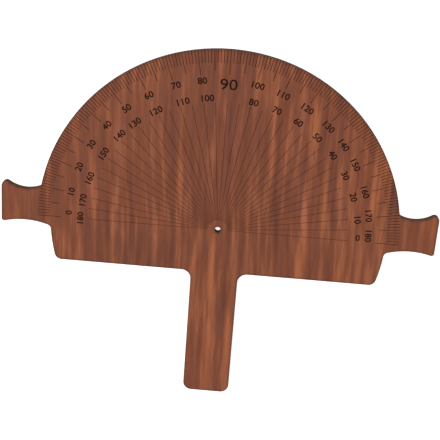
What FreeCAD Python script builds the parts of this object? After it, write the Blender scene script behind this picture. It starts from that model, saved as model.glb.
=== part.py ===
"""A wooden protractor board: five plies cut to one outline, with the scale engraved in the front veneer.

The board lies flat. The origin is the centre of the pivot hole on the back face, +Z points out of the
marked face, +Y points to 90 degrees on the scale and +X to the right-hand ear. Lengths are in mm.
"""
import FreeCAD, Part
import math
import os

import Sketcher
from FreeCAD import Vector

# ------------------------------------------------------------------ sizes: alias, value, meaning

SIZES = (
    ("rim_radius", 125.0, "half-round rim, on which every degree mark ends"),
    ("skirt_step", 8.6, "how much nearer the hole the curved sides below the ears run than the rim"),
    ("foot_depth", 31.8, "straight lower edge, below the base line"),
    ("grip_width", 33.2, "hand grip, across"),
    ("grip_reach", 126.8, "end of the grip, below the base line"),
    ("ear_length", 25.5, "how far each ear stands out past the rim"),
    ("ear_top_waist", 18.4, "lowest point of an ear's upper edge, above the base line"),
    ("ear_top_waist_out", 8.5, "that point, out from the rim"),
    ("ear_top_curve", 22.8, "radius of an ear's hollow upper edge"),
    ("ear_under_waist", 4.2, "highest point of an ear's lower edge, below the base line"),
    ("ear_under_waist_out", 9.1, "that point, out from the rim"),
    ("ear_under_curve", 53.0, "radius of an ear's hollow lower edge"),
    ("ear_root_fillet", 3.3, "inner corners where an ear meets the rim and the skirt"),
    ("ear_top_fillet", 2.9, "upper outer corner of an ear"),
    ("ear_under_fillet", 1.8, "lower outer corner of an ear"),
    ("foot_fillet", 5.0, "corner between a curved side and the lower edge"),
    ("grip_root_fillet", 6.6, "inner corner between the lower edge and the grip"),
    ("grip_end_fillet", 6.0, "corners at the end of the grip"),
    ("pivot_hole_width", 4.2, "clear hole for a 4 mm pin or screw"),
    ("veneer_thickness", 0.6, "each face veneer"),
    ("crossband_thickness", 1.2, "each crossband"),
    ("core_thickness", 1.4, "core ply"),
    ("engraving_depth", 0.2, "every engraved line, below the marked face"),
    ("mark_width", 0.3, "degree mark, across"),
    ("ray_width", 0.22, "ray, across"),
    ("mark_overrun", 0.3, "how far the cut of a degree mark runs out past the rim"),
    ("degree_mark_length", 8.5, "one-degree mark, in from the rim"),
    ("five_mark_extra", 5.6, "how much further in a five-degree mark runs than a one-degree mark"),
    ("ten_mark_extra", 2.0, "how much further in a ten-degree mark runs than a five-degree mark"),
    ("ray_start", 7.0, "inner end of a ray, at the plain disc round the hole"),
    ("number_band", 35.2, "marks and numbers together, from the rim in to the rays"),
)

SCALE_SPAN = 180
SAME_PLACE = 1e-4

# name, thickness alias: from the back of the board to its front
PLIES = (
    ("back_face_veneer", "veneer_thickness"),
    ("back_crossband", "crossband_thickness"),
    ("core_ply", "core_thickness"),
    ("front_crossband", "crossband_thickness"),
    ("front_face_veneer", "veneer_thickness"),
)

DEGREE_MARK_START = "Sizes.rim_radius - Sizes.degree_mark_length"
FIVE_MARK_START = f"{DEGREE_MARK_START} - Sizes.five_mark_extra"
TEN_MARK_START = f"{FIVE_MARK_START} - Sizes.ten_mark_extra"
RAY_END = "Sizes.rim_radius - Sizes.number_band"

# name, inner end, outer end, width, degrees from one cut to the next
ENGRAVING = (
    ("DegreeMark", DEGREE_MARK_START, "Sizes.rim_radius + Sizes.mark_overrun", "Sizes.mark_width", 1),
    ("FiveMark", FIVE_MARK_START, DEGREE_MARK_START, "Sizes.mark_width", 5),
    ("TenMark", TEN_MARK_START, FIVE_MARK_START, "Sizes.mark_width", 10),
    ("Ray", "Sizes.ray_start", RAY_END, "Sizes.ray_width", 5),
)

document = FreeCAD.newDocument("ProtractorBoard")


def make_sheet():
    sheet = document.addObject("Spreadsheet::Sheet", "Sizes")
    for row, (alias, value, meaning) in enumerate(SIZES, start=1):
        sheet.set(f"A{row}", alias)
        sheet.set(f"B{row}", str(value))
        sheet.setAlias(f"B{row}", alias)
        sheet.set(f"C{row}", meaning)
    document.recompute()
    return sheet


sizes = make_sheet()


def size(alias):
    return float(sizes.get(alias))


# ------------------------------------------------------------------ sketches

START, END, CENTRE = 1, 2, 3
X_AXIS, Y_AXIS = -1, -2
ORIGIN = (-1, 1)


def origin_feature(body, role):
    return next(item for item in body.Origin.OriginFeatures if item.Role == role)


def flat_sketch(body, name, height="0"):
    """A sketch on the body's own XY plane, lifted to a height given as an expression."""
    sketch = body.newObject("Sketcher::SketchObject", name)
    sketch.AttachmentSupport = [(origin_feature(body, "XY_Plane"), "")]
    sketch.MapMode = "FlatFace"
    sketch.setExpression("AttachmentOffset.Base.z", height)
    return sketch


def dimension(sketch, expression, value, kind, *places):
    """A dimension of a sketch, tied to the sheet by an expression."""
    index = sketch.addConstraint(Sketcher.Constraint(kind, *places, value))
    sketch.setExpression(f"Constraints[{index}]", expression)


def join(sketch, *pairs):
    for first, second in pairs:
        sketch.addConstraint(Sketcher.Constraint("Coincident", *first, *second))


def on_circle(centre, radius, x=None, y=None, side=1):
    """The point of a circle at a given x or y; side picks the upper or right-hand one of the two."""
    if y is None:
        return Vector(x, centre.y + side * math.sqrt(radius ** 2 - (x - centre.x) ** 2), 0)
    return Vector(centre.x + side * math.sqrt(radius ** 2 - (y - centre.y) ** 2), y, 0)


def crossing(centre, radius, other, other_radius, side):
    """Where two circles cross; side is 1 for the crossing left of the way to the other centre."""
    way = other - centre
    along = (way.Length ** 2 + radius ** 2 - other_radius ** 2) / (2 * way.Length)
    off = math.sqrt(radius ** 2 - along ** 2)
    unit = way / way.Length
    return centre + unit * along + Vector(-unit.y, unit.x, 0) * off * side


def arc(centre, radius, first, last):
    """The arc from first anticlockwise to last."""
    ends = [math.atan2(point.y - centre.y, point.x - centre.x) for point in (first, last)]
    if ends[1] < ends[0]:
        ends[1] += 2 * math.pi
    return Part.ArcOfCircle(Part.Circle(centre, Vector(0, 0, 1), radius), *ends)


def half_outline(body):
    """The right-hand half of the board, from the end of the grip round to the top of the rim."""
    middle = Vector(0, 0, 0)
    grip_side, grip_end, foot = size("grip_width") / 2, -size("grip_reach"), -size("foot_depth")
    rim = size("rim_radius")
    skirt, reach = rim - size("skirt_step"), rim + size("ear_length")
    top_curve, under_curve = size("ear_top_curve"), size("ear_under_curve")
    top_centre = Vector(rim + size("ear_top_waist_out"), size("ear_top_waist") + top_curve, 0)
    under_centre = Vector(rim + size("ear_under_waist_out"), -size("ear_under_waist") - under_curve, 0)

    skirt_foot = on_circle(middle, skirt, y=foot)
    skirt_ear = crossing(middle, skirt, under_centre, under_curve, 1)
    ear_under_end = on_circle(under_centre, under_curve, x=reach)
    ear_top_end = on_circle(top_centre, top_curve, x=reach, side=-1)
    rim_ear = crossing(middle, rim, top_centre, top_curve, -1)

    sketch = flat_sketch(body, "HalfOutline")
    grip_end_line, grip_line, foot_line, skirt_arc, under_arc, ear_line, top_arc, rim_arc, middle_line = (
        sketch.addGeometry(piece) for piece in (
            Part.LineSegment(Vector(0, grip_end, 0), Vector(grip_side, grip_end, 0)),
            Part.LineSegment(Vector(grip_side, grip_end, 0), Vector(grip_side, foot, 0)),
            Part.LineSegment(Vector(grip_side, foot, 0), skirt_foot),
            arc(middle, skirt, skirt_foot, skirt_ear),
            arc(under_centre, under_curve, ear_under_end, skirt_ear),
            Part.LineSegment(ear_under_end, ear_top_end),
            arc(top_centre, top_curve, rim_ear, ear_top_end),
            arc(middle, rim, rim_ear, Vector(0, rim, 0)),
            Part.LineSegment(Vector(0, rim, 0), Vector(0, grip_end, 0)),
        )
    )
    join(
        sketch,
        ((grip_end_line, END), (grip_line, START)),
        ((grip_line, END), (foot_line, START)),
        ((foot_line, END), (skirt_arc, START)),
        ((skirt_arc, END), (under_arc, END)),
        ((under_arc, START), (ear_line, START)),
        ((ear_line, END), (top_arc, END)),
        ((top_arc, START), (rim_arc, START)),
        ((rim_arc, END), (middle_line, START)),
        ((middle_line, END), (grip_end_line, START)),
        ((skirt_arc, CENTRE), ORIGIN),
        ((rim_arc, CENTRE), ORIGIN),
    )
    for line in (grip_end_line, foot_line):
        sketch.addConstraint(Sketcher.Constraint("Horizontal", line))
    for line in (grip_line, ear_line):
        sketch.addConstraint(Sketcher.Constraint("Vertical", line))
    for end in (START, END):
        sketch.addConstraint(Sketcher.Constraint("PointOnObject", middle_line, end, Y_AXIS))

    dimension(sketch, "Sizes.rim_radius", rim, "Radius", rim_arc)
    dimension(sketch, "Sizes.rim_radius - Sizes.skirt_step", skirt, "Radius", skirt_arc)
    dimension(sketch, "Sizes.grip_width / 2", grip_side, "DistanceX", *ORIGIN, grip_line, START)
    dimension(sketch, "Sizes.grip_reach", -grip_end, "DistanceY", grip_end_line, START, *ORIGIN)
    dimension(sketch, "Sizes.foot_depth", -foot, "DistanceY", foot_line, START, *ORIGIN)
    dimension(sketch, "Sizes.rim_radius + Sizes.ear_length", reach, "DistanceX", *ORIGIN, ear_line, START)
    dimension(sketch, "Sizes.ear_top_curve", top_curve, "Radius", top_arc)
    dimension(sketch, "Sizes.rim_radius + Sizes.ear_top_waist_out", top_centre.x, "DistanceX",
              *ORIGIN, top_arc, CENTRE)
    dimension(sketch, "Sizes.ear_top_waist + Sizes.ear_top_curve", top_centre.y, "DistanceY",
              *ORIGIN, top_arc, CENTRE)
    dimension(sketch, "Sizes.ear_under_curve", under_curve, "Radius", under_arc)
    dimension(sketch, "Sizes.rim_radius + Sizes.ear_under_waist_out", under_centre.x, "DistanceX",
              *ORIGIN, under_arc, CENTRE)
    dimension(sketch, "Sizes.ear_under_waist + Sizes.ear_under_curve", -under_centre.y, "DistanceY",
              under_arc, CENTRE, *ORIGIN)

    corners = (
        ("EarRoots", "ear_root_fillet", (rim_ear, skirt_ear)),
        ("EarTopCorner", "ear_top_fillet", (ear_top_end,)),
        ("EarUnderCorner", "ear_under_fillet", (ear_under_end,)),
        ("FootCorner", "foot_fillet", (skirt_foot,)),
        ("GripRoot", "grip_root_fillet", (Vector(grip_side, foot, 0),)),
        ("GripEnd", "grip_end_fillet", (Vector(grip_side, grip_end, 0),)),
    )
    return sketch, corners


def radial_slot(body, name, inner, outer, width):
    """A thin rectangle along +X, level with the face of the ply."""
    sketch = flat_sketch(body, name + "Outline", "Sizes.veneer_thickness")
    near, far, half = 1.0, 2.0, 0.1
    points = [Vector(x, y, 0) for x, y in ((near, -half), (far, -half), (far, half), (near, half))]
    lower, outer_end, upper, inner_end = (
        sketch.addGeometry(Part.LineSegment(points[i], points[(i + 1) % 4])) for i in range(4)
    )
    join(
        sketch,
        ((lower, END), (outer_end, START)),
        ((outer_end, END), (upper, START)),
        ((upper, END), (inner_end, START)),
        ((inner_end, END), (lower, START)),
    )
    for line in (lower, upper):
        sketch.addConstraint(Sketcher.Constraint("Horizontal", line))
    sketch.addConstraint(Sketcher.Constraint("Vertical", outer_end))
    sketch.addConstraint(Sketcher.Constraint("Symmetric", inner_end, START, inner_end, END, X_AXIS))
    dimension(sketch, width, 2 * half, "DistanceY", outer_end, START, outer_end, END)
    dimension(sketch, inner, near, "DistanceX", *ORIGIN, lower, START)
    dimension(sketch, outer, far, "DistanceX", *ORIGIN, lower, END)
    return sketch


# ------------------------------------------------------------------ plies

def upright_edges(shape, corners):
    """Names of the edges that stand square to the board at the given corners."""
    names = []
    for index, edge in enumerate(shape.Edges, start=1):
        ends = [vertex.Point for vertex in edge.Vertexes]
        if len(ends) == 2 and all(any(math.hypot(end.x - at.x, end.y - at.y) < SAME_PLACE for at in corners)
                                  for end in ends):
            names.append(f"Edge{index}")
    return names


def make_blank(name, thickness):
    """A plain ply: half the outline with its corners rounded, mirrored, and the pivot hole cut."""
    body = document.addObject("PartDesign::Body", name)
    body.Label = name
    outline, corners = half_outline(body)
    half = body.newObject("PartDesign::Pad", "HalfBoard")
    half.Profile = outline
    half.setExpression("Length", thickness)
    document.recompute()

    rounded = half
    for fillet_name, alias, places in corners:
        fillet = body.newObject("PartDesign::Fillet", fillet_name)
        fillet.Base = (rounded, upright_edges(rounded.Shape, places))
        fillet.setExpression("Radius", f"Sizes.{alias}")
        document.recompute()
        rounded = fillet

    whole = body.newObject("PartDesign::Mirrored", "WholeBoard")
    whole.TransformMode = "Whole shape"
    whole.MirrorPlane = (origin_feature(body, "YZ_Plane"), [""])
    body.Tip = whole
    document.recompute()

    hole_outline = flat_sketch(body, "HoleOutline", thickness)
    circle = hole_outline.addGeometry(Part.Circle(Vector(0, 0, 0), Vector(0, 0, 1), 1))
    join(hole_outline, ((circle, CENTRE), ORIGIN))
    dimension(hole_outline, "Sizes.pivot_hole_width", size("pivot_hole_width"), "Diameter", circle)
    hole = body.newObject("PartDesign::Pocket", "PivotHole")
    hole.Profile = hole_outline
    hole.Type = "ThroughAll"
    body.Tip = hole
    document.recompute()
    return body


def engrave(body):
    """Cuts the divided scale: one slot of each kind at zero degrees, repeated round the half circle."""
    for name, inner, outer, width, step in ENGRAVING:
        before = body.Shape.Volume
        cut = body.newObject("PartDesign::Pocket", name)
        cut.Profile = radial_slot(body, name, inner, outer, width)
        cut.setExpression("Length", "Sizes.engraving_depth")
        document.recompute()
        scale = body.newObject("PartDesign::PolarPattern", name + "Scale")
        scale.Originals = [cut]
        scale.Axis = (origin_feature(body, "Z_Axis"), [""])
        scale.Angle = SCALE_SPAN
        scale.Occurrences = SCALE_SPAN // step + 1
        body.Tip = scale
        document.recompute()
        if body.Shape.Volume >= before:
            raise RuntimeError(f"{name} cut nothing")


def stack_plies():
    bodies = []
    below = ["0"]
    for name, thickness in PLIES:
        body = make_blank(name, f"Sizes.{thickness}")
        body.setExpression("Placement.Base.z", " + ".join(below))
        below.append(f"Sizes.{thickness}")
        bodies.append(body)
    engrave(bodies[-1])
    document.recompute()
    return bodies


# ------------------------------------------------------------------ checks and files

def check(bodies):
    for item in document.Objects:
        if {"Invalid", "Error"} & set(item.State):
            raise RuntimeError(f"{item.Name} failed: {item.State}")
    for body in bodies:
        shape = body.Shape
        if shape.isNull() or not shape.isValid() or len(shape.Solids) != 1:
            raise RuntimeError(f"{body.Label} is not one sound solid")


def write(bodies):
    os.makedirs("parts", exist_ok=True)
    for body in bodies:
        body.Shape.exportStep(f"parts/{body.Label}.step")
        print(f"{body.Label}: {body.Shape.Volume:.1f} mm3, {len(body.Shape.Faces)} faces")


plies = stack_plies()
check(plies)
write(plies)
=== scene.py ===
"""Dresses the protractor board: stained veneer, a scale burnt into its face and scorched edges.

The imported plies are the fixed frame. Both face veneers are rebuilt on their own outlines, so that the
numbers can be cut into the marked one and the scorching can follow the cut edge of both. The inner
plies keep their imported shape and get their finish.
"""
import math

import bpy
import numpy as np
from bpy.props import FloatProperty, FloatVectorProperty, PointerProperty
from mathutils import Euler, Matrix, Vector
from mathutils.geometry import delaunay_2d_cdt


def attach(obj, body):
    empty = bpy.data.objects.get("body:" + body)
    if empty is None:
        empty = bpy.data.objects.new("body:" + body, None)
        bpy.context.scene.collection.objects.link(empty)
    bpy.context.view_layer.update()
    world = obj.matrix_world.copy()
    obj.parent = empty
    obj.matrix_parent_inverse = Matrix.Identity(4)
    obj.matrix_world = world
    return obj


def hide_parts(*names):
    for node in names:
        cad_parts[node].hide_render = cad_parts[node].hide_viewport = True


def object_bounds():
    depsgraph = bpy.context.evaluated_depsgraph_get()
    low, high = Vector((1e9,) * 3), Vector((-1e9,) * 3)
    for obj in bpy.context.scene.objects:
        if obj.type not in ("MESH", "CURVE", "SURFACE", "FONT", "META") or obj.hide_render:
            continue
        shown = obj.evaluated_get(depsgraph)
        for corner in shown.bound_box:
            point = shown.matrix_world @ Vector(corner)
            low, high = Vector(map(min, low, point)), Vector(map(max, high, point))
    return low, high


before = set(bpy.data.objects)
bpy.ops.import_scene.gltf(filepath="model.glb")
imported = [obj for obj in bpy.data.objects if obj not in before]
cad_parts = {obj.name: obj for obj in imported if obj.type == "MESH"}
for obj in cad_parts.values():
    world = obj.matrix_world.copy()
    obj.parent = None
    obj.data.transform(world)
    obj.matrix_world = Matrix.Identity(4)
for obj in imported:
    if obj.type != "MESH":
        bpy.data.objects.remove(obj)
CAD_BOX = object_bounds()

bl_info = {
    "name": "Protractor Board",
    "version": (1, 0, 0),
    "blender": (4, 5, 0),
    "location": "View3D > Sidebar > Protractor",
    "description": "A laser-cut wooden protractor board with a burnt scale",
    "category": "Object",
}

BODY = "root"
MARKED_VENEER = "front_face_veneer"
BACK_VENEER = "back_face_veneer"

# Whether the grain of each inner ply runs across the board.
INNER_PLIES = {"front_crossband": True, "core_ply": False, "back_crossband": True}

# Lengths in metres: a millimetre, the same height, and the same place on the outline.
MM = 0.001
LEVEL = 2e-6
TOUCHING = 3e-5

# The veneers' own record, at each corner, of how scorched the face is there.
SCORCH = "edge_scorch"

# Finishes of a veneer, by material slot.
PLAIN, LINE, NUMBER, EDGE = range(4)
VENEER_MATERIALS = ("Stained veneer", "Burnt line", "Burnt number", "Charred veneer edge")

HALF_TURN = 180
TEN_DEGREES = 10
TOP_OF_SCALE = 90

# The typeface at size 1: height of a digit, height of its middle, and how finely its curves are divided.
DIGIT_HEIGHT = 0.7
DIGIT_MIDDLE = 0.341
CURVE_STEPS = 3

# How the flat loops are filled: with all triangles inside them, corners nearer than this in mm made one.
KEEP_INSIDES = 1
SAME_CORNER = 1e-5

# How far each number stands past its ten-degree line, in degrees, from the left-hand ear rightwards.
OUTER_DRIFT = (
    2.0, 0.4, 1.0, 1.1, 0.6, 0.5, 0.1, 0.7, 0.4, 0.0,
    0.3, 0.1, 0.2, 0.5, -0.6, -1.8, -0.5, -0.9, -2.8,
)
INNER_DRIFT = (
    0.0, -2.0, -1.8, 0.55, 1.0, -0.6, -0.4, 1.4, 1.5, 0.0,
    0.7, 0.7, 0.7, 0.8, 0.5, 0.65, 0.6, 0.4, -1.6,
)


# ------------------------------------------------------------------ settings

def colour(name, description, value):
    return FloatVectorProperty(
        name=name, description=description, subtype="COLOR", size=3, min=0.0, max=1.0, default=value)


def length(name, description, value):
    return FloatProperty(
        name=name, description=description, unit="LENGTH", default=value, min=0.0, precision=5)


def offset(name, description, value):
    return FloatVectorProperty(
        name=name, description=description, unit="LENGTH", size=2, default=value, precision=5)


def times(name, description, value):
    return FloatProperty(name=name, description=description, default=value, min=0.0)


def angle(name, description, degrees):
    return FloatProperty(name=name, description=description, subtype="ANGLE", default=math.radians(degrees))


class WoodSettings(bpy.types.PropertyGroup):
    stain: colour("Stain", "Colour of the plain stained wood", (0.226, 0.067, 0.031))
    dark: colour("Dark streak", "Purple-brown of the dark streaks", (0.147, 0.043, 0.022))
    light: colour("Light streak", "Orange-brown of the light streaks", (0.415, 0.132, 0.054))
    streak: length("Streak spacing", "Distance from one fine streak to the next", 0.004)
    stretch: times("Streak length", "How many times longer than wide a streak is", 10.0)
    pore: length("Pore spacing", "Distance from one pore line to the next", 0.0006)


class BurnSettings(bpy.types.PropertyGroup):
    line: colour("Burnt line", "Colour at the bottom of a burnt line", (0.012, 0.004, 0.002))
    number: colour("Burnt number", "Colour of the deeper burnt numbers", (0.020, 0.006, 0.003))
    edge: colour("Cut edge", "Colour of the charred cut edge", (0.056, 0.020, 0.012))
    ash: colour("Ash", "Lighter streaks of the charred cut edge", (0.175, 0.066, 0.040))
    # Painted shade: the wall of the hole is drawn near-black, far darker than the other charred cut edges, as
    # the shadow inside the bore. The setting below is how far from the hole's axis this painted shade
    # reaches.
    hole: colour("Hole wall", "Colour of the blackened wall of the hole", (0.006, 0.003, 0.003))
    hole_reach: length("Hole reach", "Distance from the hole's axis that is blackened", 0.003)
    soot: colour("Soot", "Colour of the scorched margin along the cut edge", (0.060, 0.022, 0.014))
    margin: length("Scorched margin", "Width of the darkened face along the cut edge", 0.002)
    margin_depth: times("Margin depth", "How scorched the margin is at the cut edge, from 0 to 1", 0.45)
    mark_halo: length("Mark halo", "Width of the browned face beside a mark at the rim", 0.0001)
    ray_halo: length("Ray halo", "Width of the browned face beside a ray", 0.00005)
    faint: colour("Faint line", "Colour of the rays where they start, near the hole", (0.140, 0.044, 0.020))
    faint_reach: length("Faint reach", "Distance from the hole at which a ray is burnt fully dark", 0.045)


class NumberSettings(bpy.types.PropertyGroup):
    height: length("Number height", "Height of the small numbers", 0.0043)
    widen: times("Number width", "Widening of the small numbers", 1.05)
    thicken: length("Number boldness", "How much their strokes are widened on each side", 0.00012)
    top_height: length("Top number height", "Height of the single 90", 0.0072)
    top_widen: times("Top number width", "Widening of the single 90", 1.19)
    top_thicken: length("Top number boldness", "How much its strokes are widened on each side", 0.00004)
    outer_ring: length("Outer ring", "Radius of the ring of outer numbers", 0.1037)
    outer_centre: offset("Outer ring centre", "From the hole, to the right and up", (0.0, 0.0012))
    inner_ring: length("Inner ring", "Radius of the ring of inner numbers", 0.0962)
    inner_centre: offset("Inner ring centre", "From the hole, to the right and up", (0.0006, -0.0031))
    top_ring: length("Top number", "Distance of the single 90 from the hole", 0.1023)


class StageSettings(bpy.types.PropertyGroup):
    lens: FloatProperty(
        name="Lens", description="Focal length on a 36 mm sensor", unit="CAMERA", default=81.09, min=1.0)
    distance: length("Camera distance", "From the lens to the marked face", 0.683)
    aim_right: length("Aim right", "The middle of the view, to the right of the hole", 0.0011)
    aim_up: length("Aim up", "The middle of the view, towards 90 degrees from the hole", 0.0074)
    tilt: angle("Tilt", "Lean of the view away from square-on, towards the rim", -20.165)
    lean: angle("Lean", "Sideways lean of the view", 2.481)
    turn: angle("Turn", "Turn of the view about the upright", 4.194)
    sky: times("Sky", "Strength of the even white light from all round", 0.62)
    lamp: FloatProperty(
        name="Lamp", description="Power of the soft lamp overhead", unit="POWER", default=16.0)


# ------------------------------------------------------------------ flat loops

def welded(mesh):
    """Corner places and triangles of a mesh, with the corners at one place made one."""
    mesh.calc_loop_triangles()
    corners = np.array([vertex.co for vertex in mesh.vertices], np.float32)
    places, index = np.unique(corners, axis=0, return_inverse=True)
    index = index.reshape(-1)
    return places.astype(float), [tuple(int(index[v]) for v in t.vertices) for t in mesh.loop_triangles]


def rim_sides(triangles):
    """Sides that belong to one triangle only, as that triangle runs along them."""
    sides = {(t[i], t[(i + 1) % 3]) for t in triangles for i in range(3)}
    return {a: b for a, b in sides if (b, a) not in sides}


def chains(following):
    """Closed chains of corners from a table of each corner and the next."""
    following, found = dict(following), []
    while following:
        start = min(following)
        chain, at = [start], following.pop(start)
        while at != start:
            chain.append(at)
            at = following.pop(at)
        found.append(chain)
    return found


def level_loops(mesh, height):
    """Closed outlines of all that lies flat at one height of the mesh."""
    places, triangles = welded(mesh)
    level = [
        triangle for triangle in triangles
        if len(set(triangle)) == 3 and all(abs(places[v][2] - height) < LEVEL for v in triangle)
    ]
    return [places[chain][:, :2] for chain in chains(rim_sides(level))]


def area(loop):
    """The area inside a loop, below nothing where the loop runs clockwise."""
    x, y = loop[:, 0], loop[:, 1]
    return 0.5 * float(np.sum(x * np.roll(y, -1) - y * np.roll(x, -1)))


def anticlockwise(loop):
    return loop if area(loop) > 0 else loop[::-1]


def inset(loop, width):
    """The loop moved by a width to its left, which is into the wood."""
    before, after = loop - np.roll(loop, 1, axis=0), np.roll(loop, -1, axis=0) - loop
    before, after = (way / np.linalg.norm(way, axis=1)[:, None] for way in (before, after))
    left = np.stack([-(before + after)[:, 1], (before + after)[:, 0]], axis=1)
    return loop + left * (2 * width / np.sum(left ** 2, axis=1))[:, None]


def distance_to(points, loops):
    """Distance from every point to the nearest side of the loops."""
    best = np.full(len(points), np.inf)
    for loop in loops:
        for start, end in zip(loop, np.roll(loop, -1, axis=0)):
            way = end - start
            along = np.clip(((points - start) @ way) / (way @ way), 0.0, 1.0)
            best = np.minimum(best, np.linalg.norm(points - start - along[:, None] * way, axis=1))
    return best


# ------------------------------------------------------------------ numbers

def number_loops(text, height, widen, thicken, place, turn):
    """Outlines of a number, its middle on a place, turned about it."""
    curve = bpy.data.curves.new("number", "FONT")
    curve.body = text
    curve.align_x = "CENTER"
    curve.resolution_u = CURVE_STEPS
    curve.offset = thicken * DIGIT_HEIGHT / height
    sample = bpy.data.objects.new("number", curve)
    bpy.context.scene.collection.objects.link(sample)
    bpy.context.view_layer.update()
    mesh = bpy.data.meshes.new_from_object(sample.evaluated_get(bpy.context.evaluated_depsgraph_get()))
    loops = level_loops(mesh, 0.0)
    bpy.data.objects.remove(sample)
    bpy.data.curves.remove(curve)
    bpy.data.meshes.remove(mesh)
    scale = height / DIGIT_HEIGHT * np.array([widen, 1.0])
    turned = np.array([[math.cos(turn), math.sin(turn)], [-math.sin(turn), math.cos(turn)]])
    return [((loop - (0.0, DIGIT_MIDDLE)) * scale) @ turned + place for loop in loops]


def ring_of_numbers(numbers, radius, centre, drifts, settings, upright=()):
    """The numbers of one ring, each past its ten-degree line by its drift, its top outward unless upright."""
    loops = []
    for step, (number, drift) in enumerate(zip(numbers, drifts)):
        if number == TOP_OF_SCALE:
            continue
        heading = math.radians(HALF_TURN - step * TEN_DEGREES - drift)
        way = np.array([math.cos(heading), math.sin(heading)])
        middle = (radius + way @ centre) * way
        turn = 0.0 if number in upright else heading - math.pi / 2
        loops += number_loops(
            str(number), settings.height, settings.widen, settings.thicken, middle, turn)
    return loops


def all_numbers(settings):
    """The outer ring, the inner ring and the single 90 at the top."""
    rising = list(range(0, HALF_TURN + 1, TEN_DEGREES))
    falling = rising[::-1]
    loops = ring_of_numbers(
        rising, settings.outer_ring, settings.outer_centre, OUTER_DRIFT, settings)
    loops += ring_of_numbers(
        falling, settings.inner_ring, settings.inner_centre, INNER_DRIFT, settings, upright=(0,))
    top = np.array([0.0, settings.top_ring])
    return loops + number_loops(
        str(TOP_OF_SCALE), settings.top_height, settings.top_widen, settings.top_thicken, top, 0.0)


# ------------------------------------------------------------------ veneers

def triangulate(loops):
    """The plane cut along the loops: corners, triangles, and the numbers of the loops round each triangle."""
    loops = [anticlockwise(loop) for loop in loops]
    starts = np.cumsum([0] + [len(loop) for loop in loops])
    corners = [Vector(point) for loop in loops for point in loop / MM]
    faces = [list(range(start, start + len(loop))) for start, loop in zip(starts, loops)]
    places, _, triangles, _, _, owners = delaunay_2d_cdt(corners, [], faces, KEEP_INSIDES, SAME_CORNER)
    return np.array([tuple(place) for place in places]) * MM, triangles, owners


def marks_and_rays(slots, outline, beyond):
    """The slots that run out through the outline, lengthened to end beyond it, and the other slots."""
    marks, rays = [], []
    for slot in slots:
        ends = distance_to(slot, outline) < TOUCHING
        if ends.any():
            longer = slot.copy()
            longer[ends] *= 1 + beyond / np.linalg.norm(slot[ends], axis=1)[:, None]
            marks.append(longer)
        else:
            rays.append(slot)
    return marks, rays


def finish_inside(kinds):
    """The finish of a triangle, from the kinds of the loops round it."""
    if kinds.count("number") % 2:
        return NUMBER
    return LINE if "slot" in kinds else PLAIN


def cut_veneer(outline, burn, slots=(), numbers=()):
    """A veneer's corners, triangles, each triangle's finish, and how scorched the face is at each corner."""
    marks, rays = marks_and_rays(slots, outline, burn.margin)
    kinds = ["outline"] * len(outline) + ["slot"] * len(slots) + ["number"] * len(numbers)
    scorched = ((outline, burn.margin), (marks, -burn.mark_halo), (rays, -burn.ray_halo))
    limits = [inset(loop, width) for loops, width in scorched for loop in loops]
    places, triangles, owners = triangulate([*outline, *marks, *rays, *numbers, *limits])
    rim = max(range(len(outline)), key=lambda i: area(outline[i]))
    kept, finishes = [], []
    for triangle, owner in zip(triangles, owners):
        round_it = [kinds[i] for i in owner if i < len(kinds)]
        if rim in owner and round_it.count("outline") == 1:
            kept.append(tuple(triangle))
            finishes.append(finish_inside(round_it))
    margin, mark_halo, ray_halo = (1 - distance_to(places, loops) / abs(width) for loops, width in scorched)
    margin *= burn.margin_depth
    ray_halo *= np.clip(np.linalg.norm(places, axis=1) / burn.faint_reach, 0.0, 1.0)
    nearness = np.max([margin, mark_halo, ray_halo], axis=0).clip(0.0, 1.0)
    return places, kept, finishes, nearness


def veneer_object(name, places, triangles, finishes, nearness, glue, floor, face):
    """The veneer as a closed mesh from its glued side to its face, lines and numbers sunk to their floor."""
    corners, polygons, slots = {}, [], []

    def add(polygon, finish):
        polygons.append([corners.setdefault(corner, len(corners)) for corner in polygon])
        slots.append(finish)

    sides = {}
    for triangle, finish in zip(triangles, finishes):
        height = face if finish == PLAIN else floor
        add([(p, height) for p in triangle], finish)
        sides.update({(triangle[i], triangle[(i + 1) % 3]): finish for i in range(3)})
    outer = {a: b for a, b in sides if (b, a) not in sides}
    notched = {p for a, b in outer.items() if sides[a, b] != PLAIN for p in (a, b)}
    for (a, b), finish in sorted(sides.items()):
        beyond = sides.get((b, a), EDGE)
        if beyond == EDGE and finish == PLAIN:
            ends = [[(p, floor)] if p in notched else [] for p in (a, b)]
            add([(a, glue), (b, glue), *ends[1], (b, face), (a, face), *ends[0]], EDGE)
        elif beyond == EDGE:
            add([(a, glue), (b, glue), (b, floor), (a, floor)], EDGE)
        elif finish == PLAIN and beyond != PLAIN:
            add([(a, floor), (b, floor), (b, face), (a, face)], beyond)
    for triangle in glued_side(places, outer):
        add([(p, glue) for p in reversed(triangle)], PLAIN)
    if face < glue:
        polygons = [polygon[::-1] for polygon in polygons]

    mesh = bpy.data.meshes.new(name)
    mesh.from_pydata([(*places[p], height) for p, height in corners], [], polygons)
    mesh.polygons.foreach_set("material_index", slots)
    near = mesh.attributes.new(SCORCH, "FLOAT", "POINT")
    near.data.foreach_set("value", [float(nearness[p]) for p, _ in corners])
    mesh.update()
    for each in VENEER_MATERIALS:
        mesh.materials.append(bpy.data.materials[each])
    made = bpy.data.objects.new(name, mesh)
    bpy.context.scene.collection.objects.link(made)
    return made


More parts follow.
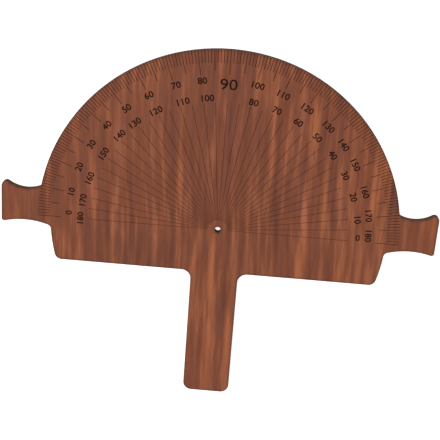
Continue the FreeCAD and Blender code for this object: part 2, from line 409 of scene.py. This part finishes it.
def glued_side(places, following):
    """Triangles of the flat glued side, on the corners of its outline."""
    loops = chains(following)
    corners = [p for loop in loops for p in loop]
    areas = [area(places[loop]) for loop in loops]
    faces, start = [], 0
    for loop, size in zip(loops, areas):
        ids = list(range(start, start + len(loop)))
        faces.append(ids if size > 0 else ids[::-1])
        start += len(loop)
    rim = areas.index(max(areas))
    _, _, triangles, old, _, owners = delaunay_2d_cdt(
        [Vector(places[p] / MM) for p in corners], [], faces, KEEP_INSIDES, SAME_CORNER)
    return [[corners[old[v][0]] for v in t] for t, owner in zip(triangles, owners) if list(owner) == [rim]]


# ------------------------------------------------------------------ shader helpers

def add_node(tree, kind, inputs=(), **settings):
    """A shader node with its settings, its inputs set to values or joined to other nodes' outputs."""
    made = tree.nodes.new(kind)
    for name, value in settings.items():
        setattr(made, name, value)
    for socket, value in dict(inputs).items():
        if isinstance(value, bpy.types.NodeSocket):
            tree.links.new(value, made.inputs[socket])
        else:
            made.inputs[socket].default_value = value
    return made


def math_node(tree, operation, first, second=0.0, third=0.0):
    """The output of one step of arithmetic."""
    made = add_node(tree, "ShaderNodeMath", {0: first, 1: second, 2: third}, operation=operation)
    return made.outputs[0]


def spread(tree, value, low, high, smooth=True):
    """The value mapped from low..high to 0..1."""
    kind = "SMOOTHSTEP" if smooth else "LINEAR"
    inputs = {"Value": value, "From Min": low, "From Max": high}
    return add_node(tree, "ShaderNodeMapRange", inputs, interpolation_type=kind).outputs[0]


def centred(tree, value, width):
    """A value round a half, moved to lie round nothing and multiplied by a width."""
    return math_node(tree, "MULTIPLY", math_node(tree, "SUBTRACT", value, 0.5), width)


def raised(tree, value, share, base):
    """A share of the value on top of a base."""
    return math_node(tree, "ADD", base, math_node(tree, "MULTIPLY", value, share))


def weighted_sum(tree, *parts):
    """The sum of values, each given with its weight."""
    total = 0.0
    for value, weight in parts:
        total = math_node(tree, "ADD", total, math_node(tree, "MULTIPLY", value, weight))
    return total


# The colour sockets of a Mix node, which share their names with its other sockets.
FIRST_COLOUR, SECOND_COLOUR, MIXED_COLOUR = 6, 7, 2


def mix_colours(tree, share, first, second, blend="MIX"):
    """Two colours mixed by a share, or blended in another way."""
    made = add_node(
        tree, "ShaderNodeMix", {"Factor": share, FIRST_COLOUR: first, SECOND_COLOUR: second},
        data_type="RGBA", blend_type=blend)
    return made.outputs[MIXED_COLOUR]


def noise(tree, place, detail=2.0, roughness=0.5, scale=1.0, seed=0.0):
    """Soft noise at a place, one pattern for each seed."""
    inputs = {"Vector": place, "W": seed, "Scale": scale, "Detail": detail, "Roughness": roughness}
    return add_node(tree, "ShaderNodeTexNoise", inputs, noise_dimensions="4D").outputs[0]


def scaled_place(tree, place, factors):
    """The place with each axis multiplied by a value or an output."""
    parts = add_node(tree, "ShaderNodeSeparateXYZ", {0: place})
    joined = add_node(tree, "ShaderNodeCombineXYZ")
    for axis, factor in enumerate(factors):
        tree.links.new(math_node(tree, "MULTIPLY", parts.outputs[axis], factor), joined.inputs[axis])
    return joined.outputs[0]


def new_group(name, inputs, outputs):
    """An empty node group with named sockets."""
    group = bpy.data.node_groups.new(name, "ShaderNodeTree")
    for label, kind, value in inputs:
        group.interface.new_socket(label, in_out="INPUT", socket_type=kind).default_value = value
    for label, kind in outputs:
        group.interface.new_socket(label, in_out="OUTPUT", socket_type=kind)
    return group, group.nodes.new("NodeGroupInput").outputs, group.nodes.new("NodeGroupOutput").inputs


def use_group(tree, name, values):
    """The outputs of a node group placed in a tree with its values."""
    return add_node(tree, "ShaderNodeGroup", values, node_tree=bpy.data.node_groups[name]).outputs


def opaque(rgb):
    """A colour setting as a socket takes it."""
    return (*rgb, 1.0)


# ------------------------------------------------------------------ shared finishes

GRAIN = "Stained grain"
CHAR = "Char"
SCORCHED = "Scorched margin"
FLOAT, COLOUR, VECTOR = "NodeSocketFloat", "NodeSocketColor", "NodeSocketVector"
BLACK, WHITE = (0, 0, 0, 1), (1, 1, 1, 1)
ORIGIN = (0, 0, 0)

# The grain leans to one side as it rises, and sways by up to half of SWAY, in metres.
LEAN = 0.03
SWAY = 0.008
SWAY_SCALE = 8.0

# Layers of streaks: times wider and longer than the finest, noise detail, noise roughness, seed.
FINE = (1.0, 1.0, 3.0, 0.55, 194.9)
LASTING = (1.2, 6.0, 2.0, 0.5, 192.8)
BROAD = (3.0, 6.0, 0.0, 0.5, 194.8)
HUE = (1.3, 2.5, 2.0, 0.6, 11.0)
FINE_SHARE, LASTING_SHARE, BROAD_SHARE = 0.51, 0.38, 0.11

# The streaks are strong in some patches of the board and faint in others.
FIGURE_SCALE = 9.0
FIGURE_SEED = 191.8
FIGURE_RANGE = (0.35, 0.62)
FAINTEST, FIGURE_SHARE = 0.75, 0.45

# How far the tone falls below or rises above the middle where it is fully dark or fully light.
DARKEST, LIGHTEST = -0.145, 0.155

# Tints of the cooler and the warmer streaks, and the noise between them.
PURPLISH = (0.98, 1.00, 1.12, 1.0)
ORANGE = (1.03, 0.98, 0.84, 1.0)
HUE_RANGE = (0.32, 0.68)

# Pores: how short they are for their width, the noise that opens them, and how dark and rough they are.
PORE_STRETCH = 0.035
PORE_RANGE = (0.60, 0.72)
PORE_SHARE = 0.45
GRAIN_ROUGHNESS, PORE_ROUGHNESS = 0.50, 0.18
STREAK_RELIEF = 0.35


def stained_grain():
    """Long streaks along Y that waver and slant, two-tone and stronger in places, with fine open pores."""
    group, given, out = new_group(
        GRAIN,
        (("Place", VECTOR, ORIGIN), ("Stain", COLOUR, WHITE), ("Dark", COLOUR, BLACK),
         ("Light", COLOUR, WHITE), ("Streak", FLOAT, 0.004), ("Stretch", FLOAT, 10.0),
         ("Pore", FLOAT, 0.0006)),
        (("Color", COLOUR), ("Roughness", FLOAT), ("Height", FLOAT)),
    )
    sway = noise(group, given["Place"], detail=1.0, scale=SWAY_SCALE)
    x, y, z = add_node(group, "ShaderNodeSeparateXYZ", {0: given["Place"]}).outputs
    aside = math_node(group, "MULTIPLY_ADD", y, LEAN, centred(group, sway, SWAY))
    swayed_x = math_node(group, "ADD", aside, x)
    swayed = add_node(group, "ShaderNodeCombineXYZ", {0: swayed_x, 1: y, 2: z}).outputs[0]
    across = math_node(group, "DIVIDE", 1.0, given["Streak"])
    along = math_node(group, "DIVIDE", across, given["Stretch"])

    def streaks(wider, longer, detail, roughness, seed):
        width = math_node(group, "DIVIDE", across, wider)
        run = math_node(group, "DIVIDE", along, longer)
        return noise(group, scaled_place(group, swayed, (width, run, width)), detail, roughness, seed=seed)

    fine = streaks(*FINE)
    mixed = weighted_sum(
        group, (fine, FINE_SHARE), (streaks(*LASTING), LASTING_SHARE), (streaks(*BROAD), BROAD_SHARE))
    patches = noise(group, given["Place"], detail=0.0, scale=FIGURE_SCALE, seed=FIGURE_SEED)
    strength = raised(group, spread(group, patches, *FIGURE_RANGE), FIGURE_SHARE, FAINTEST)
    tone = centred(group, mixed, strength)

    pores_across = math_node(group, "DIVIDE", 1.0, given["Pore"])
    pores_along = math_node(group, "MULTIPLY", pores_across, PORE_STRETCH)
    pores = noise(group, scaled_place(group, swayed, (pores_across, pores_along, pores_across)), detail=1.0)
    open_pore = spread(group, pores, *PORE_RANGE)

    to_stain = spread(group, tone, DARKEST, 0.0, smooth=False)
    to_light = spread(group, tone, 0.0, LIGHTEST, smooth=False)
    toned = mix_colours(
        group, to_light, mix_colours(group, to_stain, given["Dark"], given["Stain"]), given["Light"])
    warmth = spread(group, streaks(*HUE), *HUE_RANGE, smooth=False)
    tint = mix_colours(group, warmth, PURPLISH, ORANGE)
    tinted = mix_colours(group, 1.0, toned, tint, blend="MULTIPLY")
    sunk = mix_colours(group, math_node(group, "MULTIPLY", open_pore, PORE_SHARE), tinted, given["Dark"])
    height = math_node(group, "SUBTRACT", math_node(group, "MULTIPLY", fine, STREAK_RELIEF), open_pore)
    group.links.new(sunk, out["Color"])
    group.links.new(raised(group, open_pore, PORE_ROUGHNESS, GRAIN_ROUGHNESS), out["Roughness"])
    group.links.new(height, out["Height"])


# Char: how much longer than wide its upright lines are, the mottle over them, and their shares in the tone.
LINE_STRETCH = 0.05
MOTTLE_SCALE = 350.0
LINE_SHARE, MOTTLE_SHARE = 0.6, 0.4
CHAR_RANGE = (0.36, 0.66)
CHAR_ROUGHNESS, MOTTLE_ROUGHNESS = 0.72, 0.3

# How uneven the scorched margin is, and how finely.
UNEVEN = 0.35
UNEVEN_SCALE = 220.0


def char():
    """Charred wood: fine upright lines left by the beam, over a mottled brown-black."""
    group, given, out = new_group(
        CHAR,
        (("Place", VECTOR, ORIGIN), ("Dark", COLOUR, BLACK), ("Light", COLOUR, WHITE),
         ("Line", FLOAT, 0.0004)),
        (("Color", COLOUR), ("Roughness", FLOAT), ("Height", FLOAT)),
    )
    fine = math_node(group, "DIVIDE", 1.0, given["Line"])
    upright = math_node(group, "MULTIPLY", fine, LINE_STRETCH)
    lines = noise(group, scaled_place(group, given["Place"], (fine, fine, upright)), roughness=0.6)
    mottle = noise(group, given["Place"], scale=MOTTLE_SCALE)
    tone = weighted_sum(group, (lines, LINE_SHARE), (mottle, MOTTLE_SHARE))
    shade = mix_colours(group, spread(group, tone, *CHAR_RANGE), given["Dark"], given["Light"])
    group.links.new(shade, out["Color"])
    group.links.new(raised(group, mottle, MOTTLE_ROUGHNESS, CHAR_ROUGHNESS), out["Roughness"])
    group.links.new(lines, out["Height"])


def scorched_margin():
    """Soot along the cut edge, thinning out unevenly into the face."""
    group, given, out = new_group(
        SCORCHED,
        (("Place", VECTOR, ORIGIN), ("Wood", COLOUR, WHITE), ("Soot", COLOUR, BLACK),
         ("Nearness", FLOAT, 0.0)),
        (("Color", COLOUR),),
    )
    uneven = centred(group, noise(group, given["Place"], scale=UNEVEN_SCALE), UNEVEN)
    share = spread(group, math_node(group, "ADD", given["Nearness"], uneven), 0.0, 1.0, smooth=False)
    within = math_node(group, "GREATER_THAN", given["Nearness"], 0.0)
    held = math_node(group, "MULTIPLY", share, within)
    group.links.new(mix_colours(group, held, given["Wood"], given["Soot"]), out["Color"])


def new_material(name):
    """An empty material: its tree, its surface shader and the place on the object, in metres."""
    material = bpy.data.materials.new(name)
    material.use_nodes = True
    tree = material.node_tree
    shader = tree.nodes["Principled BSDF"]
    place = add_node(tree, "ShaderNodeTexCoord").outputs["Object"]
    return material, tree, shader, place


# Depth of each surface's relief in metres, how fully it shows, and how glossy each surface is.
GRAIN_RELIEF = 0.00006
LINE_RELIEF = 0.00003
EDGE_RELIEF = 0.00008
PLY_RELIEF = 0.0001
RELIEF_STRENGTH = 0.6
WOOD_GLOSS, CHAR_GLOSS = 0.2, 0.1

# Spacing of the beam's upright lines on each burnt surface, in metres.
GROOVE_LINES = 0.0003
EDGE_LINES = 0.0004
PLY_LINES = 0.0005

# How much lighter the mottle in a burnt line is, and how much of the ash shows on a crosswise ply.
LINE_MOTTLE = 2.0
CROSSWISE_ASH = 0.5

# A surface whose normal points this much up or down is a glued face, and any other is a cut edge.
GLUED_FACE = 0.5


def finish_surface(tree, shader, colour_output, roughness, height, depth, gloss):
    """The surface's colour, roughness and relief, from outputs, and its plain gloss."""
    tree.links.new(colour_output, shader.inputs["Base Color"])
    tree.links.new(roughness, shader.inputs["Roughness"])
    bump = add_node(
        tree, "ShaderNodeBump", {"Height": height, "Distance": depth, "Strength": RELIEF_STRENGTH})
    tree.links.new(bump.outputs[0], shader.inputs["Normal"])
    shader.inputs["Specular IOR Level"].default_value = gloss


def grain_values(wood, place):
    """The grain group's inputs, from the settings."""
    return {
        "Place": place, "Stain": opaque(wood.stain), "Dark": opaque(wood.dark), "Light": opaque(wood.light),
        "Streak": wood.streak, "Stretch": wood.stretch, "Pore": wood.pore,
    }


def veneer_material(name, wood, burn):
    """The stained face of a veneer, sooty along the cut edge."""
    material, tree, shader, place = new_material(name)
    grain = use_group(tree, GRAIN, grain_values(wood, place))
    near = add_node(tree, "ShaderNodeAttribute", attribute_name=SCORCH).outputs["Fac"]
    margin = use_group(tree, SCORCHED, {
        "Place": place, "Wood": grain["Color"], "Soot": opaque(burn.soot), "Nearness": near})
    finish_surface(
        tree, shader, margin["Color"], grain["Roughness"], grain["Height"], GRAIN_RELIEF, WOOD_GLOSS)
    return material


def near_hole(tree, place, reach, shade, centre_shade):
    """The shade, turning into another one towards the hole."""
    distance = add_node(tree, "ShaderNodeVectorMath", {0: place}, operation="LENGTH").outputs["Value"]
    return mix_colours(tree, spread(tree, distance, 0.0, reach), opaque(centre_shade), shade)


def char_material(name, dark, light, line, depth, reach, centre_shade):
    """Charred wood, with another shade towards the hole."""
    material, tree, shader, place = new_material(name)
    burnt = use_group(tree, CHAR, {
        "Place": place, "Dark": opaque(dark), "Light": opaque(light), "Line": line})
    shade = near_hole(tree, place, reach, burnt["Color"], centre_shade)
    finish_surface(tree, shader, shade, burnt["Roughness"], burnt["Height"], depth, CHAR_GLOSS)
    return material


def ply_material(name, wood, burn, crosswise):
    """An inner ply: charred where it was cut, near-black with painted shade on the wall of the hole, plain
    wood on its glued faces, its grain along or across.
    """
    material, tree, shader, place = new_material(name)
    turned = add_node(tree, "ShaderNodeMapping", {
        "Vector": place, "Rotation": (0, 0, math.pi / 2 if crosswise else 0)}).outputs[0]
    grain = use_group(tree, GRAIN, grain_values(wood, turned))
    ash_share = CROSSWISE_ASH if crosswise else 1.0
    ash = [dark + (light - dark) * ash_share for dark, light in zip(burn.edge, burn.ash)]
    burnt = use_group(tree, CHAR, {
        "Place": place, "Dark": opaque(burn.edge), "Light": opaque(ash), "Line": PLY_LINES})
    normal = add_node(tree, "ShaderNodeNewGeometry").outputs["True Normal"]
    facing = add_node(tree, "ShaderNodeSeparateXYZ", {0: normal}).outputs[2]
    flat = math_node(tree, "GREATER_THAN", math_node(tree, "ABSOLUTE", facing), GLUED_FACE)
    # Painted shade: near the hole's axis the cut edge turns near-black, for the shadow inside the bore.
    cut = near_hole(tree, place, burn.hole_reach, burnt["Color"], burn.hole)
    surface = mix_colours(tree, flat, cut, grain["Color"])
    finish_surface(tree, shader, surface, burnt["Roughness"], burnt["Height"], PLY_RELIEF, WOOD_GLOSS)
    return material


# ------------------------------------------------------------------ operators

class PROTRACTOR_OT_finishes(bpy.types.Operator):
    """Makes the shared grain, char and scorch effects and the veneers' materials."""
    bl_idname = "protractor.finishes"
    bl_label = "Finishes"
    bl_options = {"REGISTER", "UNDO"}

    def execute(self, context):
        wood, burn = context.scene.protractor_wood, context.scene.protractor_burn
        stained_grain()
        char()
        scorched_margin()
        veneer_material(VENEER_MATERIALS[PLAIN], wood, burn)
        mottle = [LINE_MOTTLE * part for part in burn.line]
        char_material(
            VENEER_MATERIALS[LINE], burn.line, mottle, GROOVE_LINES, LINE_RELIEF,
            burn.faint_reach, burn.faint)
        char_material(
            VENEER_MATERIALS[NUMBER], burn.number, burn.line, GROOVE_LINES, LINE_RELIEF,
            burn.hole_reach, burn.number)
        # The cut edge is charred; near the hole it turns near-black, painted shade for the shadow inside the
        # bore.
        char_material(
            VENEER_MATERIALS[EDGE], burn.edge, burn.ash, EDGE_LINES, EDGE_RELIEF,
            burn.hole_reach, burn.hole)
        return {"FINISHED"}


def heights_of(node):
    """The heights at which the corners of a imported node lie, to a millionth of a metre, lowest first."""
    return sorted({round(vertex.co.z, 6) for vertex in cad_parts[node].data.vertices})


class PROTRACTOR_OT_marked_veneer(bpy.types.Operator):
    """Builds the marked veneer with its scale and its numbers cut in."""
    bl_idname = "protractor.marked_veneer"
    bl_label = "Marked Veneer"
    bl_options = {"REGISTER", "UNDO"}

    def execute(self, context):
        scene = context.scene
        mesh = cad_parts[MARKED_VENEER].data
        glue, floor, face = heights_of(MARKED_VENEER)
        outline = [loop[::-1] for loop in level_loops(mesh, glue)]
        slots = [anticlockwise(loop) for loop in level_loops(mesh, floor)]
        cut = cut_veneer(outline, scene.protractor_burn, slots, all_numbers(scene.protractor_numbers))
        made = veneer_object("marked_veneer", *cut, glue, floor, face)
        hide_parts(MARKED_VENEER)
        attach(made, BODY)
        return {"FINISHED"}


class PROTRACTOR_OT_back_veneer(bpy.types.Operator):
    """Builds the plain veneer on the back, which the cutting scorched as well."""
    bl_idname = "protractor.back_veneer"
    bl_label = "Back Veneer"
    bl_options = {"REGISTER", "UNDO"}

    def execute(self, context):
        face, glue = heights_of(BACK_VENEER)
        outline = level_loops(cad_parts[BACK_VENEER].data, glue)
        cut = cut_veneer(outline, context.scene.protractor_burn)
        made = veneer_object("plain_veneer", *cut, glue, face, face)
        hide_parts(BACK_VENEER)
        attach(made, BODY)
        return {"FINISHED"}


class PROTRACTOR_OT_inner_plies(bpy.types.Operator):
    """Gives each inner ply its grain and its charred edge, near-black with painted shade on the wall of the
    hole.
    """
    bl_idname = "protractor.inner_plies"
    bl_label = "Inner Plies"
    bl_options = {"REGISTER", "UNDO"}

    def execute(self, context):
        wood, burn = context.scene.protractor_wood, context.scene.protractor_burn
        for name, crosswise in INNER_PLIES.items():
            material = ply_material(f"Charred {name}", wood, burn, crosswise)
            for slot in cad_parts[name].material_slots:
                slot.material = material
        return {"FINISHED"}


# The floor: half its side and its gap below the board, in metres, its white, and the white added to it.
FLOOR_HALF = 4.0
FLOOR_GAP = 0.0005
PAPER = (0.8, 0.8, 0.8, 1)
PAPER_GLOW = 0.75

# The lamp: its width and its place, in metres.
LAMP_WIDTH = 1.6
LAMP_PLACE = (-0.7, 0.5, 2.0)

# The camera: its sensor in millimetres, and the nearest thing it sees, in metres.
SENSOR = 36.0
NEAREST = 0.01


def white_floor():
    """The floor and its material: white to the eye, with the board's faint shadow kept."""
    low, _ = CAD_BOX
    mesh = bpy.data.meshes.new("floor")
    corners = [(-1, -1), (1, -1), (1, 1), (-1, 1)]
    height = low.z - FLOOR_GAP
    mesh.from_pydata([(x * FLOOR_HALF, y * FLOOR_HALF, height) for x, y in corners], [], [(0, 1, 2, 3)])
    floor = bpy.data.objects.new("floor", mesh)
    bpy.context.scene.collection.objects.link(floor)
    material = bpy.data.materials.new("White floor")
    material.use_nodes = True
    tree = material.node_tree
    tree.nodes.clear()
    paper = add_node(tree, "ShaderNodeBsdfDiffuse", {"Color": PAPER})
    strength = seen_or_mirrored(tree, PAPER_GLOW)
    glow = add_node(tree, "ShaderNodeEmission", {"Color": WHITE, "Strength": strength})
    both = add_node(tree, "ShaderNodeAddShader", {0: paper.outputs[0], 1: glow.outputs[0]})
    add_node(tree, "ShaderNodeOutputMaterial", {"Surface": both.outputs[0]})
    mesh.materials.append(material)


def seen_or_mirrored(tree, strength):
    """The strength for rays from the eye, a gloss or a clear body, and none for the light on the object."""
    path = add_node(tree, "ShaderNodeLightPath").outputs
    rays = math_node(tree, "MAXIMUM", path["Is Camera Ray"], path["Is Glossy Ray"])
    rays = math_node(tree, "MAXIMUM", rays, path["Is Transmission Ray"])
    return math_node(tree, "MULTIPLY", rays, strength)


def soft_light(stage):
    """Even white light from all round and one broad lamp overhead."""
    world = bpy.data.worlds.new("Studio")
    bpy.context.scene.world = world
    world.use_nodes = True
    tree = world.node_tree
    sky = tree.nodes["Background"]
    extra = seen_or_mirrored(tree, 1.0 - stage.sky)
    tree.links.new(math_node(tree, "ADD", extra, stage.sky), sky.inputs["Strength"])
    sky.inputs["Color"].default_value = WHITE
    light = bpy.data.lights.new("overhead", "AREA")
    light.shape = "DISK"
    light.size = LAMP_WIDTH
    light.energy = stage.lamp
    lamp = bpy.data.objects.new("overhead", light)
    lamp.location = LAMP_PLACE
    lamp.rotation_euler = Vector(lamp.location).to_track_quat("Z", "Y").to_euler()
    bpy.context.scene.collection.objects.link(lamp)


def camera(stage):
    """The camera, aimed at a spot on the marked face and leaning away from it."""
    data = bpy.data.cameras.new("camera")
    data.sensor_width = SENSOR
    data.lens = stage.lens
    data.clip_start = NEAREST
    made = bpy.data.objects.new("camera", data)
    turn = Euler((stage.tilt, stage.lean, stage.turn), "XYZ")
    aim = Vector((stage.aim_right, stage.aim_up, CAD_BOX[1].z))
    made.rotation_euler = turn
    made.location = aim + turn.to_matrix() @ Vector((0, 0, stage.distance))
    bpy.context.scene.collection.objects.link(made)
    bpy.context.scene.camera = made


class PROTRACTOR_OT_stage(bpy.types.Operator):
    """Sets the floor, the light and the camera."""
    bl_idname = "protractor.stage"
    bl_label = "Stage"
    bl_options = {"REGISTER", "UNDO"}

    def execute(self, context):
        context.scene.view_settings.view_transform = "Standard"
        white_floor()
        soft_light(context.scene.protractor_stage)
        camera(context.scene.protractor_stage)
        return {"FINISHED"}


OPERATORS = (
    PROTRACTOR_OT_finishes,
    PROTRACTOR_OT_marked_veneer,
    PROTRACTOR_OT_back_veneer,
    PROTRACTOR_OT_inner_plies,
    PROTRACTOR_OT_stage,
)


class PROTRACTOR_PT_panel(bpy.types.Panel):
    """Lists the steps and the settings of the protractor board."""
    bl_idname = "PROTRACTOR_PT_panel"
    bl_label = "Protractor Board"
    bl_space_type = "VIEW_3D"
    bl_region_type = "UI"
    bl_category = "Protractor"

    def draw(self, context):
        for operator in OPERATORS:
            self.layout.operator(operator.bl_idname)
        for name, group in SETTINGS.items():
            box = self.layout.box()
            for field in group.__annotations__:
                box.prop(getattr(context.scene, name), field)


SETTINGS = {
    "protractor_wood": WoodSettings,
    "protractor_burn": BurnSettings,
    "protractor_numbers": NumberSettings,
    "protractor_stage": StageSettings,
}
CLASSES = (*SETTINGS.values(), *OPERATORS, PROTRACTOR_PT_panel)


def register():
    for each in CLASSES:
        bpy.utils.register_class(each)
    for name, settings in SETTINGS.items():
        setattr(bpy.types.Scene, name, PointerProperty(type=settings))


def unregister():
    for name in SETTINGS:
        delattr(bpy.types.Scene, name)
    for each in reversed(CLASSES):
        bpy.utils.unregister_class(each)


def main():
    register()
    for operator in OPERATORS:
        group, step = operator.bl_idname.split(".")
        getattr(getattr(bpy.ops, group), step)()


if __name__ == "__main__":
    main()
